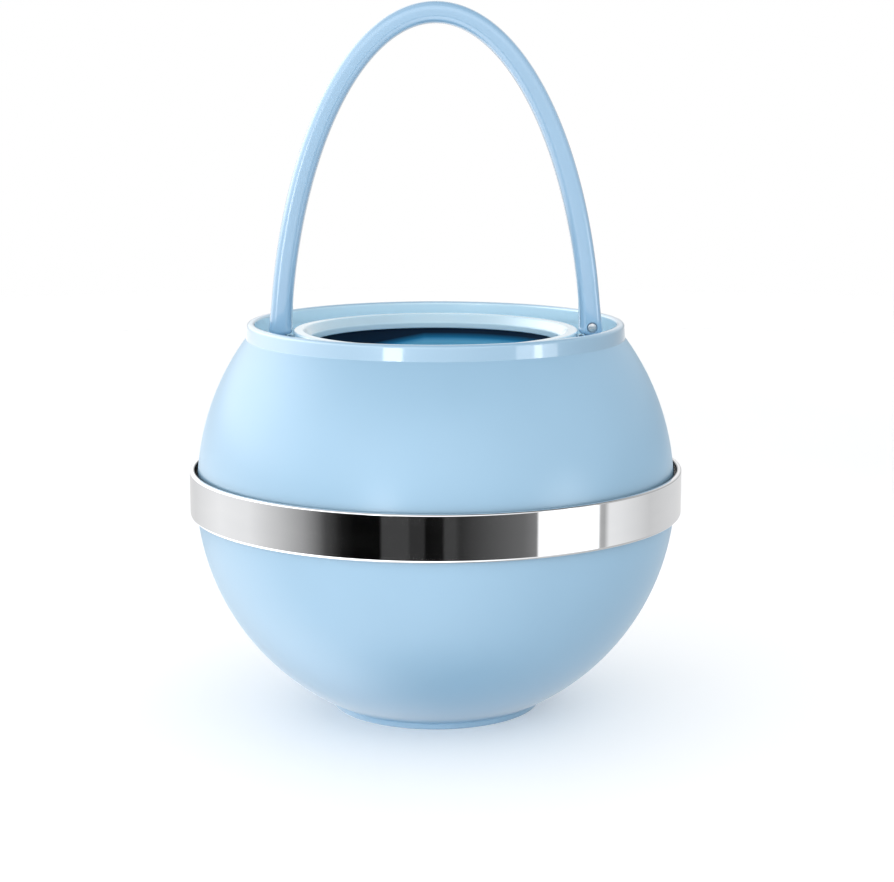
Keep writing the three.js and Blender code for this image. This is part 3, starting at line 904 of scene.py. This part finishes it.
def make_neck_ring():
    seat_z = FLANGE_TOP_Z + GAP
    outline = rounded([
        (NECK_LIP_R, NECK_LOW.z, 0.4),
        (WELL_INNER_R - GAP, NECK_LOW.z, 0.2),
        (WELL_INNER_R - GAP, seat_z, 0.1),
        (TONGUE_INNER_R - GAP, seat_z, 0.1),
        (TONGUE_INNER_R - GAP, WELL_HIGH.z + GAP, 0.1),
        (TONGUE_OUTER_R + GAP, WELL_HIGH.z + GAP, 0.1),
        (TONGUE_OUTER_R + GAP, seat_z, 0.1),
        (NECK_HIGH.x, seat_z, 0.2),
        (NECK_HIGH.x, NECK_HIGH.z, 0.6),
        (NECK_LIP_R + 2, NECK_HIGH.z, 0.9),
        (NECK_LIP_R, NECK_LOW.z + 2, 1.2),
    ])
    ring = revolve("neck_ring_fine", outline)
    notch = prism("notch", rounded(rectangle(-1.7, NECK_HIGH.x - 0.9, 1.7, NECK_HIGH.x + 1, 0.4)),
                  NECK_HIGH.z - 1, NECK_HIGH.z + 1)
    return cut(ring, [notch])


class DISPENSER_OT_well(bpy.types.Operator):
    """Build the tablet well and the ring that makes its mouth"""

    bl_idname = "dispenser.well"
    bl_label = "Well and Neck Ring"

    def execute(self, context):
        finish_piece(make_well(), shared(well_plastic), "well", "hull", "tablet_well")
        finish_piece(make_neck_ring(), shared(collar_plastic), "shell", "hull", "neck_ring")
        return {"FINISHED"}


# ---- Seals and ballast ----

def make_seal(node):
    """A flat gasket with round edges, filling its CAD ring's box from its inner radius."""
    low, high = node_box(node)
    inner = SEAL_INNER_R[node]
    edge = (high.z - low.z) * 0.35
    return revolve(f"{node}_fine", rounded(rectangle(inner, low.z, high.x, high.z, edge)))


def make_ballast():
    return revolve("ballast_ring_fine", rounded(
        rectangle(WELL_R + 0.5, BALLAST_LOW.z, BALLAST_HIGH.x, BALLAST_HIGH.z, 1.2)))


class DISPENSER_OT_inner_rings(bpy.types.Operator):
    """Build the three gaskets and the ballast ring inside the shells"""

    bl_idname = "dispenser.inner_rings"
    bl_label = "Seals and Ballast"

    def execute(self, context):
        for node in SEAL_INNER_R:
            finish_piece(make_seal(node), shared(seal_rubber), "gasket", "hull", node)
        finish_piece(make_ballast(), shared(cast_ballast), "ballast", "hull", "ballast_ring")
        return {"FINISHED"}


# ---- Basket ----

def wall_slot(half_width, low_z, high_z):
    """A slot through the basket's wall on the X axis, with round ends."""
    end_r = min(half_width, (high_z - low_z) / 2) * 0.98
    outline = rounded(rectangle(-half_width, low_z, half_width, high_z, end_r))
    return across_x(prism("wall_slot", outline, 0, 8), BASKET_HIGH.x - 5)


def make_basket():
    low_z, top_z, outer = BASKET_LOW.z, BASKET_HIGH.z, BASKET_HIGH.x
    inner = outer - BASKET_WALL
    floor_top = low_z + BASKET_FLOOR
    basket = revolve("tablet_basket_fine", rounded([
        (0, low_z, 0),
        (outer, low_z, 1.4),
        (outer, top_z, 0.6),
        (inner, top_z, 0.6),
        (inner, floor_top, 1),
        (0, floor_top, 0),
    ]))
    half_step = 180 / BASKET_SLOT_COUNT
    tools = around(lambda: wall_slot(*FINGER_HOLE), 2, 90)
    for low, high in BASKET_SLOT_SPANS:
        tools += around(lambda: wall_slot(BASKET_SLOT_HALF, low, high),
                        BASKET_SLOT_COUNT, half_step)
    tools += around(lambda: slot_tool(9, 36, BASKET_SLOT_HALF, low_z - 1, floor_top + 1),
                    BASKET_SLOT_COUNT, half_step)
    return soften(cut(basket, tools), 0.2)


class DISPENSER_OT_basket(bpy.types.Operator):
    """Build the slotted basket that lifts out of the well"""

    bl_idname = "dispenser.basket"
    bl_label = "Tablet Basket"

    def execute(self, context):
        finish_piece(make_basket(), shared(basket_plastic), "basket", "basket", "tablet_basket")
        return {"FINISHED"}


# ---- Dial and screws ----

def make_dial():
    top = DIAL_HIGH.z
    dial = revolve("flow_dial_fine", rounded([
        (0, DIAL_PLATE_Z, 0),
        (DIAL_HIGH.x, DIAL_PLATE_Z, 0.5),
        (DIAL_HIGH.x, top, 0.4),
        (0, top, 0),
    ]))
    join(dial, around(make_grip, 2, 180 / PORT_COUNT))
    tools = around(lambda: port_tool(DIAL_PLATE_Z - 1, top + 1), PORT_COUNT)
    return cut(dial, tools + [rod("bore", DIAL_BORE_R, DIAL_PLATE_Z - 1, top + 1)])


def make_grip():
    """One of the two bars under the dial that fingers turn it by."""
    outline = rounded(rectangle(PORT_INNER_R, -GRIP_HALF, GRIP_OUTER_R, GRIP_HALF, 1.5))
    return soften(prism("grip", outline, DIAL_LOW.z, DIAL_PLATE_Z + 0.5), 0.5)


def make_base_screw(index):
    """A countersunk screw, head down, with its drive slot."""
    head_z = BASE_SCREW_LOW.z
    head_r = (BASE_SCREW_HIGH.x - BASE_SCREW_LOW.x) / 2
    screw = turned(f"base_screw_{index}_fine", [
        (0, head_z, 0), (head_r, head_z, 0.2), (1.3, head_z + 1.3, 0.15),
        *thread(1.3, 1.02, head_z + 3, BASE_SCREW_HIGH.z - 1.2, 0.9),
        (1.0, BASE_SCREW_HIGH.z, 0.3), (0, BASE_SCREW_HIGH.z, 0)])
    slot = prism("slot", rounded(rectangle(-1.7, -0.35, 1.7, 0.35)), head_z - 1, head_z + 0.5)
    cut(screw, [slot])
    low, high = node_box(f"base_screw_{index}")
    return place(screw, Matrix.Translation(((low.x + high.x) / 2, (low.y + high.y) / 2, 0)))


def thread(crest_r, root_r, low_z, high_z, pitch):
    """Corners of a shank's thread, seen as even rings."""
    corners = []
    turns = int((high_z - low_z) / pitch)
    for i in range(turns):
        z = low_z + i * pitch
        corners += [(root_r, z, 0), (crest_r, z + pitch * 0.4, 0), (crest_r, z + pitch * 0.6, 0)]
    return corners + [(root_r, low_z + turns * pitch, 0)]


def make_dial_screw():
    low = DIAL_SCREW_LOW.z
    head_top = low + 1.5
    screw = turned("dial_screw_fine", [
        (0, low, 0), (DIAL_SCREW_HIGH.x, low, 0.7), (DIAL_SCREW_HIGH.x, head_top, 0.15),
        (1.5, head_top, 0.1),
        *thread(1.5, 1.2, PLATE_Z + 0.5, DIAL_SCREW_HIGH.z - 0.8, 0.8),
        (1.1, DIAL_SCREW_HIGH.z, 0.3), (0, DIAL_SCREW_HIGH.z, 0)])
    for half in ((2.2, 0.4), (0.4, 2.2)):
        cut(screw, [prism("drive", rounded(rectangle(-half[0], -half[1], *half)), 0, low + 0.8)])
    return screw


def make_washer():
    return turned("dial_washer_fine", rectangle(
        DIAL_BORE_R, WASHER_LOW.z, WASHER_HIGH.x, WASHER_HIGH.z, 0.1))


class DISPENSER_OT_dial(bpy.types.Operator):
    """Build the flow dial under the foot"""

    bl_idname = "dispenser.dial"
    bl_label = "Flow Dial"

    def execute(self, context):
        finish_piece(make_dial(), shared(dial_plastic), "dial", "dial", "flow_dial")
        return {"FINISHED"}


class DISPENSER_OT_screws(bpy.types.Operator):
    """Build the base screws, the dial's screw and its washer"""

    bl_idname = "dispenser.screws"
    bl_label = "Screws"

    def execute(self, context):
        steel = shared(stainless_steel)
        for index in range(1, SCREW_COUNT + 1):
            finish_piece(make_base_screw(index), steel, "steel", "hull", f"base_screw_{index}")
        finish_piece(make_dial_screw(), steel, "steel", "hull", "dial_screw")
        finish_piece(make_washer(), steel, "steel", "hull", "dial_washer")
        return {"FINISHED"}


# ---- Handle and hinges ----

def handle_section(steps):
    """Points round the handle's section: a soft squared oval, thickness by width."""
    power = 2 / HANDLE_POWER
    half_width = (HANDLE_HIGH.y - HANDLE_LOW.y) / 2
    points = []
    for i in range(steps):
        angle = 2 * math.pi * i / steps
        c, s = math.cos(angle), math.sin(angle)
        points.append((HANDLE_THICK / 2 * math.copysign(abs(c) ** power, c),
                       half_width * math.copysign(abs(s) ** power, s)))
    return points


def handle_ring(shape, section, angle):
    """One ring of the arch, square to its elliptical centre line, flared near the foot."""
    middle = Vector((HANDLE_HALF_SPAN * math.cos(angle), 0,
                     HANDLE_CENTRE_Z + HANDLE_RISE * math.sin(angle)))
    outward = Vector((math.cos(angle) / HANDLE_HALF_SPAN, 0,
                      math.sin(angle) / HANDLE_RISE)).normalized()
    share = max(0, (HANDLE_LOW.z + FLARE_HEIGHT - middle.z) / FLARE_HEIGHT)
    flare = 1 + FLARE_SHARE * share * share
    return [shape.verts.new(middle + outward * (u * flare) + Vector((0, v, 0))) for u, v in section]


def make_handle():
    section = handle_section(64)
    start = math.asin((HANDLE_LOW.z - HANDLE_CENTRE_Z) / HANDLE_RISE)
    steps = 220
    shape = bmesh.new()
    rings = [handle_ring(shape, section, start + (math.pi - 2 * start) * i / steps)
             for i in range(steps + 1)]
    for ring in (rings[0], rings[-1]):
        for vertex in ring:
            vertex.co.z = HANDLE_LOW.z
    for ring, following in zip(rings, rings[1:]):
        for i in range(len(section)):
            j = (i + 1) % len(section)
            shape.faces.new((ring[i], ring[j], following[j], following[i]))
    shape.faces.new(rings[0])
    shape.faces.new(rings[-1])
    handle = soften(new_piece("handle_fine", shape), HANDLE_FOOT_ROUND, HANDLE_FOOT_ANGLE, 5)
    pocket = rectangle(LUG_MIDDLE_X - SHANK_HALF[0] - GAP, -SHANK_HALF[1] - GAP,
                       LUG_MIDDLE_X + SHANK_HALF[0] + GAP, SHANK_HALF[1] + GAP, 0.4)
    make_pocket = lambda: prism("pocket", rounded(pocket), HANDLE_LOW.z - 1, SHANK_TOP_Z + GAP)
    cut(handle, around(make_pocket, 2))
    cut(handle, around(lambda: cross_rod(1.1, -8, 0), 2))
    return cut(handle, around(lambda: cross_rod(1.8, -8, LUG_SCREW_SEAT_Y), 2))


def cross_rod(radius, low_y, high_y):
    """A rod along Y through the lug's middle, at the height of the pin that locks it."""
    return along_y(rod("cross_rod", radius, low_y, high_y), (LUG_MIDDLE_X, 0, LUG_SCREW_Z))


def make_lug(name):
    shank = prism("shank", rounded(rectangle(
        LUG_MIDDLE_X - SHANK_HALF[0], -SHANK_HALF[1], LUG_MIDDLE_X + SHANK_HALF[0],
        SHANK_HALF[1], 0.4)), HANDLE_LOW.z - 1, SHANK_TOP_Z)
    eye = soften(lug_plate(HANDLE_LOW.z - GAP, LUG_LOW.x, LUG_HIGH.x), 0.3)
    lug = join(eye, [shank])
    cut(lug, [pivot_rod(PIN_R + 0.12, LUG_LOW.x - 2, LUG_HIGH.x + 2)])
    cut(lug, [cross_rod(1.05, -5, 0)])
    lug.name = name
    return lug


def make_lug_screw(name):
    """The small screw that holds a lug in its leg, head outward, with its drive slot."""
    head_r = (LUG_SCREW_HIGH.x - LUG_SCREW_LOW.x) / 2
    low, high = LUG_SCREW_LOW.y, LUG_SCREW_HIGH.y
    screw = turned(name, [
        (0, low, 0), (head_r, low + 0.12, 0.3), (head_r, low + 0.8, 0.1), (0.9, low + 0.8, 0.1),
        (0.9, high, 0.3), (0, high, 0)])
    slot = prism("slot", rounded(rectangle(-1.1, -0.25, 1.1, 0.25)), low - 1, low + 0.4)
    return along_y(cut(screw, [slot]), (LUG_MIDDLE_X, 0, LUG_SCREW_Z))


def make_pivot_pin(name):
    low, high = PIN_LOW.x, PIN_HIGH.x
    pin = turned(name, [(0, low, 0), (PIN_R, low, 0.3), (PIN_R, high, 0.3), (0, high, 0)])
    return along_x(pin, (0, 0, PIVOT_Z))


class DISPENSER_OT_handle(bpy.types.Operator):
    """Build the arched bail handle"""

    bl_idname = "dispenser.handle"
    bl_label = "Handle"

    def execute(self, context):
        finish_piece(make_handle(), shared(handle_plastic), "handle", "bail", "handle")
        return {"FINISHED"}


class DISPENSER_OT_hinges(bpy.types.Operator):
    """Build the lugs, the screws that hold them in the legs and the pivot pins"""

    bl_idname = "dispenser.hinges"
    bl_label = "Hinges"

    def execute(self, context):
        steel = shared(stainless_steel)
        for side in ("right", "left"):
            lug = make_lug(f"pivot_lug_{side}_fine")
            lug_screw = make_lug_screw(f"lug_screw_{side}_fine")
            pivot_pin = make_pivot_pin(f"pivot_pin_{side}_fine")
            if side == "left":
                for piece in (lug, lug_screw, pivot_pin):
                    half_turned(piece)
            finish_piece(lug, shared(handle_plastic), "handle", "bail", f"pivot_lug_{side}")
            finish_piece(lug_screw, steel, "steel", "bail", f"lug_screw_{side}")
            finish_piece(pivot_pin, steel, "steel", "hull", f"pivot_pin_{side}")
        return {"FINISHED"}


# ---- Stage ----

class Sky(Graph):
    """The studio round the dispenser, as a world whose colour depends on direction."""

    def __init__(self):
        world = bpy.data.worlds.new("studio")
        bpy.context.scene.world = world
        super().__init__(world)
        self.background = self.nodes["Background"]
        direction = self.nodes.new("ShaderNodeTexCoord").outputs["Generated"]
        forward = self.math("MULTIPLY", self.split(direction, "Y"), -1)
        radians = self.math("ARCTAN2", self.split(direction, "X"), forward)
        self.azimuth = self.math("DEGREES", radians)
        self.elevation = self.math("DEGREES", self.math("ARCSINE", self.split(direction, "Z")))

    def step(self, value, start, end, low=0, high=1):
        """A smooth step of a value from low at start to high at end."""
        return self.map_range(value, start, end, low, high, "SMOOTHSTEP")

    def window(self, value, start, end, soft):
        """1 between two values and 0 outside them, with soft edges."""
        rise = self.step(value, start - soft, start)
        return self.math("MULTIPLY", rise, self.step(value, end, end + soft, 1, 0))

    def panel(self, azimuths, elevations, strength, soft=1.5):
        """A bright card in one part of the studio."""
        inside = self.math("MULTIPLY", self.window(self.azimuth, *azimuths, soft),
                           self.window(self.elevation, *elevations, soft * 2))
        return self.math("MULTIPLY", inside, strength)

    def gradient(self, stops):
        """Brightness by azimuth, in degrees from the front, given as (azimuth, brightness)."""
        turn = self.map_range(self.azimuth, -180, 180, 0, 1)
        node = self.nodes.new("ShaderNodeValToRGB")
        ramp = node.color_ramp
        while len(ramp.elements) < len(stops):
            ramp.elements.new(0.5)
        for element, (azimuth, level) in zip(ramp.elements, stops):
            element.position = (azimuth + 180) / 360
            element.color = (level, level, level, 1)
        self.links.new(turn, node.inputs["Fac"])
        return node.outputs["Color"]

    def blend(self, share, first, second):
        node = self.nodes.new("ShaderNodeMix")
        self.links.new(share, node.inputs["Factor"])
        self.feed(node.inputs[2], first)
        self.feed(node.inputs[3], second)
        return node.outputs["Result"]


# Brightness round the studio as a satin surface sees it, by azimuth from the front.
WASH_LEVELS = [
    (-180, 0.2), (-150, 0.36), (-125, 0.6), (-102, 0.7), (-58, 0.42), (0, 0.36), (60, 0.16),
    (102, 0.1), (135, 0.12), (180, 0.2)]
WASH_STRENGTH = 4.9

# The same in the narrow belt, a little below level, that the upright band mirrors.
BELT_LEVELS = [
    (-180, 0.78), (-150, 0.74), (-118, 0.92), (-95, 0.86), (-76, 0.58), (-63, 0.36),
    (-57, 0.22), (-51, 0.07), (-43, 0.01), (-37, 0.002), (-24.7, 0.002), (-24.3, 0.056),
    (-12, 0.056), (-11.5, 0.033), (-5.6, 0.033), (-5.2, 0.004), (3, 0.008), (3.6, 0.055),
    (9, 0.055), (10.5, 0.03), (24, 0.08), (40, 0.14), (47, 0.22), (47.6, 1), (79.4, 1),
    (80, 0.45), (83, 0.42), (86, 0.88), (93, 0.84), (116, 0.62), (140, 0.7), (180, 0.78)]
BELT_ELEVATIONS = (-15.5, -9.5)

# Cards, as azimuths, elevations and brightness.
CARDS = (
    ((47.6, 79.4), (-15, -9.5), 0.4),
    ((-30, -20), (-3, 4), 4.4),
    ((49, 76), (-3, 4), 1.5),
    ((61, 65), (-3, 4), 3),
)


def make_sky(fill):
    """White to the camera, even to matt surfaces, and a studio of cards to shiny ones."""
    sky = Sky()
    cards = sky.gradient(WASH_LEVELS)
    for share in (WASH_STRENGTH,
                  sky.step(sky.elevation, 22, 58, 1, 0.22),
                  sky.step(sky.elevation, -85, -55, 0.2, 1),
                  sky.math("SUBTRACT", 1, sky.panel((-180, 180), (-4, 4), 0.4)),
                  sky.math("SUBTRACT", 1, sky.panel((-160, -70), (-70, -16), 0.3, 8))):
        cards = sky.math("MULTIPLY", cards, share)
    belt = sky.window(sky.elevation, *BELT_ELEVATIONS, 1.5)
    cards = sky.blend(belt, cards, sky.gradient(BELT_LEVELS))
    for azimuths, elevations, strength in CARDS:
        cards = sky.math("ADD", cards, sky.panel(azimuths, elevations, strength))
    rays = sky.nodes.new("ShaderNodeLightPath")
    level = sky.blend(rays.outputs["Is Glossy Ray"], fill, cards)
    level = sky.blend(rays.outputs["Is Camera Ray"], level, 1.0)
    sky.links.new(level, sky.background.inputs["Color"])


# The floor's radius is in millimetres, as meshes are; its fade and the light's place are in metres.
FLOOR_R = 2200
FLOOR_FADE = (0.25, 1.4)
FLOOR_GLOW = 0.25
KEY_PLACE = (-0.9, -1.6, 0.42)


def make_floor():
    """A pale round floor that fades into the white round it."""
    outline = [(0, 0), (FLOOR_R, 0), (FLOOR_R, -4), (0, -4)]
    floor = revolve("studio_floor", outline, 96)
    floor.data.shade_smooth()
    floor.visible_glossy = False
    finish = Finish("studio_floor")
    mottle = finish.spread(finish.noise(3, 3), 0, 1)
    finish.set("Base Color", finish.mix(mottle, (0.8, 0.81, 0.82), (0.84, 0.85, 0.86)))
    finish.set("Roughness", 0.6)
    finish.set("Emission Color", (1, 1, 1, 1))
    seen = finish.nodes.new("ShaderNodeLightPath").outputs["Is Camera Ray"]
    finish.set("Emission Strength", finish.math("MULTIPLY", seen, FLOOR_GLOW))
    finish.set("Alpha", finish.spread(finish.axis_distance(), 1, 0, *FLOOR_FADE))
    floor.data.materials.append(finish.material)


def make_key_light(power):
    """A soft square light, low in front to the left, that shiny surfaces don't mirror."""
    data = bpy.data.lights.new("key", "AREA")
    data.size = 1
    data.energy = power
    light = bpy.data.objects.new("key", data)
    light.location = KEY_PLACE
    aim = Vector((0, 0, EQUATOR_Z * MM)) - Vector(KEY_PLACE)
    light.rotation_euler = aim.to_track_quat("-Z", "Y").to_euler()
    light.visible_glossy = False
    bpy.context.scene.collection.objects.link(light)


def make_camera(stage):
    data = bpy.data.cameras.new("camera")
    data.sensor_width = 36
    data.lens = stage.lens
    data.clip_start = 0.01
    camera = bpy.data.objects.new("camera", data)
    camera.location = (0, -stage.camera_distance, stage.camera_height)
    camera.rotation_euler = (math.pi / 2 - stage.camera_pitch, 0, -stage.camera_yaw)
    bpy.context.scene.collection.objects.link(camera)
    bpy.context.scene.camera = camera


class DISPENSER_OT_stage(bpy.types.Operator):
    """Set up the camera, the pale floor and the studio light"""

    bl_idname = "dispenser.stage"
    bl_label = "Stage"

    def execute(self, context):
        stage = context.scene.dispenser_stage
        context.scene.view_settings.view_transform = "Standard"
        make_camera(stage)
        make_sky(stage.fill)
        make_floor()
        make_key_light(stage.key_power)
        return {"FINISHED"}


# ---- Add-on ----

class DISPENSER_PT_panel(bpy.types.Panel):
    """Dispenser pieces and settings"""

    bl_label = "Dispenser"
    bl_idname = "DISPENSER_PT_panel"
    bl_space_type = "VIEW_3D"
    bl_region_type = "UI"
    bl_category = "Dispenser"

    def draw(self, context):
        for operator in OPERATORS:
            self.layout.operator(operator.bl_idname)
        for name in SETTINGS:
            group = getattr(context.scene, name)
            box = self.layout.box()
            for prop in group.__annotations__:
                box.prop(group, prop)


OPERATORS = (
    DISPENSER_OT_stage,
    DISPENSER_OT_shells,
    DISPENSER_OT_band,
    DISPENSER_OT_well,
    DISPENSER_OT_inner_rings,
    DISPENSER_OT_basket,
    DISPENSER_OT_dial,
    DISPENSER_OT_screws,
    DISPENSER_OT_handle,
    DISPENSER_OT_hinges,
)
SETTINGS = {
    "dispenser_finish": DispenserFinish,
    "dispenser_mesh": DispenserMesh,
    "dispenser_stage": DispenserStage,
}
CLASSES = (*SETTINGS.values(), *OPERATORS, DISPENSER_PT_panel)


def register():
    for cls in CLASSES:
        bpy.utils.register_class(cls)
    for name, group in SETTINGS.items():
        setattr(bpy.types.Scene, name, bpy.props.PointerProperty(type=group))


def unregister():
    for name in SETTINGS:
        delattr(bpy.types.Scene, name)
    for cls in reversed(CLASSES):
        bpy.utils.unregister_class(cls)


def main():
    register()
    for operator in OPERATORS:
        getattr(bpy.ops.dispenser, operator.bl_idname.partition(".")[2])()


if __name__ == "__main__":
    main()
